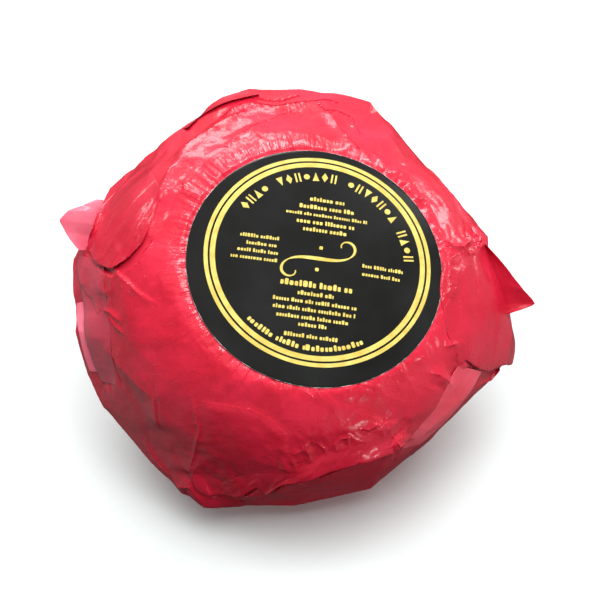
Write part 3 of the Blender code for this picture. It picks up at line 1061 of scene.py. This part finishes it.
# Lamps: (name, seat, the place it points at, size, watts).
SOFT_LAMPS = [
    ("above_left", (-0.45, 0.55, 0.75), (0, 0, 0.05), (0.4, 0.4), 2.7),
    ("above_front", (0.05, -0.35, 1.0), (0, 0, 0.05), (0.4, 0.4), 7.2),
    ("right_fill", (0.9, -0.4, 0.2), (0, 0, 0.05), (0.4, 0.4), 0.9),
]
GLOSS_LAMPS = [
    ("behind", (-0.22, 0.62, 0.80), (0, 0, 0.05), (0.28, 0.22), 2.2),
    ("high_behind", (0.02, 0.40, 0.96), (0, 0, 0.05), (0.25, 0.15), 1.8),
    ("behind_left", (-0.59, 0.40, 0.76), (0, 0, 0.05), (0.2, 0.18), 1.1),
    ("side", (0.76, 0.54, 0.40), (0, 0, 0.06), (0.25, 0.2), 1.5),
    ("right", (0.77, 0.04, 0.69), (0, 0, 0.05), (0.12, 0.12), 0.8),
    ("low_right", (0.82, -0.42, 0.40), (0, 0, 0.05), (0.12, 0.12), 0.8),
    ("front_low", (0.26, -0.40, 0.03), (0, 0, 0.05), (0.05, 0.02), 0.12),
    ("label_sheen", (0.46, 0.17, 0.90), (0, 0, 0.08), (0.12, 0.12), 0.25),
]
FLOOR_LAMPS = [
    ("floor_light", (0.02, -0.3, 1.15), (0, 0, 0), (1.0, 1.0), 14.2),
    ("floor_back", (0, 1.3, 0.9), (0, 0.7, 0), (1.6, 0.5), 9),
    ("floor_front", (0, -0.8, 0.5), (0, 0, 0), (1.2, 0.4), 1.2),
]
FILM_LAMP = ("over_film", (0.22, 0.10, 1.0), (0, 0, 0.05), (0.2, 0.2), 3.2)


def add_camera():
    """The camera, at the photograph's angle, seated by where the label is in its view."""
    tilt = radians(CAMERA_ELEVATION)
    right = Vector((1, 0, 0))
    up = Vector((0, sin(tilt), cos(tilt)))
    back = Vector((0, -cos(tilt), sin(tilt)))
    label = BALL @ Vector((LABEL_OFFSET[0], LABEL_OFFSET[1], CAP_HEIGHT))
    seat = label - (right * LABEL_FROM_CAMERA[0] + up * LABEL_FROM_CAMERA[1] + back * LABEL_FROM_CAMERA[2])
    camera = bpy.data.objects.new("camera", bpy.data.cameras.new("camera"))
    camera.data.lens = CAMERA_LENS
    camera.data.sensor_width = CAMERA_SENSOR
    camera.matrix_world = Matrix.Translation(seat) @ Matrix((right, up, back)).transposed().to_4x4()
    bpy.context.scene.collection.objects.link(camera)
    bpy.context.scene.camera = camera


def add_lamp(lamp, only=None, shut_out=None, mirrored=True):
    """An area lamp that lights one object only, or all but one."""
    name, seat, target, size, watts = lamp
    light = bpy.data.lights.new(name, "AREA")
    light.shape = "RECTANGLE"
    light.size, light.size_y = size
    light.energy = watts
    made = bpy.data.objects.new(name, light)
    way = Vector(target) - Vector(seat)
    made.matrix_world = Matrix.Translation(seat) @ way.to_track_quat("-Z", "Y").to_matrix().to_4x4()
    bpy.context.scene.collection.objects.link(made)
    made.visible_glossy = mirrored
    made.visible_camera = False
    linked = bpy.data.collections.new(name + "_linked")
    linked.objects.link(only or shut_out)
    made.light_linking.receiver_collection = linked
    linked.collection_objects[0].light_linking.link_state = "INCLUDE" if only else "EXCLUDE"


def add_floor():
    """A plain pale floor, which lights nothing itself."""
    mesh = bmesh.new()
    bmesh.ops.create_grid(mesh, x_segments=1, y_segments=1, size=FLOOR_SIZE)
    data = bpy.data.meshes.new("floor")
    mesh.to_mesh(data)
    mesh.free()
    floor = bpy.data.objects.new("floor", data)
    finish, tree, shader = new_material("floor_white")
    fill(tree, shader, {"Base Color": FLOOR_COLOUR, "Roughness": 0.7})
    data.materials.append(finish)
    bpy.context.scene.collection.objects.link(floor)
    floor.visible_diffuse = False
    floor.visible_glossy = False
    return floor


def add_world():
    """Soft light all round: brightest high up behind, and dark below but for its sides."""
    world = bpy.data.worlds.new("studio")
    world.use_nodes = True
    tree = world.node_tree
    way = tree.nodes.new("ShaderNodeTexCoord").outputs["Generated"]
    parts = tree.nodes.new("ShaderNodeSeparateXYZ")
    fill(tree, parts, {"Vector": way})
    sideways = math_node(tree, "ABSOLUTE", parts.outputs["X"])
    below = spread(tree, sideways, 0.35, 0.85, WORLD_BELOW, WORLD_SIDES)
    all_round = spread(tree, parts.outputs["Z"], -0.25, 0.25, below, WORLD_ABOVE)
    towards = vector_node(tree, "DOT_PRODUCT", way, (0, 0.5, 0.87))
    behind = spread(tree, towards, 0.45, 1, 0, WORLD_BEHIND)
    strength = math_node(tree, "ADD", all_round, behind)
    fill(tree, tree.nodes["Background"], {"Color": (1, 1, 1, 1), "Strength": strength})
    bpy.context.scene.world = world


# ---- the scene
add_camera()
floor = add_floor()
add_world()
for lamp in SOFT_LAMPS:
    add_lamp(lamp, shut_out=floor, mirrored=False)
for lamp in GLOSS_LAMPS:
    add_lamp(lamp, shut_out=floor)
for lamp in FLOOR_LAMPS:
    add_lamp(lamp, only=floor)
bpy.context.scene.view_settings.view_transform = "Standard"

finishes = {name: film_material(name, dark, light) for name, (dark, light) in FILM_COLOURS.items()}
points, tris = film_points()
film = film_object("film", points, tris, finishes["red"])
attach(film, "root")
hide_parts("wrapped_cheese")
add_lamp(FILM_LAMP, only=film)
film_tree = BVHTree.FromPolygons([Vector(point) for point in points], tris.tolist())
for name, (finish, crumple, rows) in FLAPS.items():
    layer = flap(name, crumple, rows, film_tree, finishes[finish])
    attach(layer, "root")
ink = print_material()
for piece in (label_paper(), print_rings(ink), print_rows(ink), print_arcs(ink), print_flourish(ink)):
    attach(piece, "root")
    if piece.name == "label_disc":
        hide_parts("label")
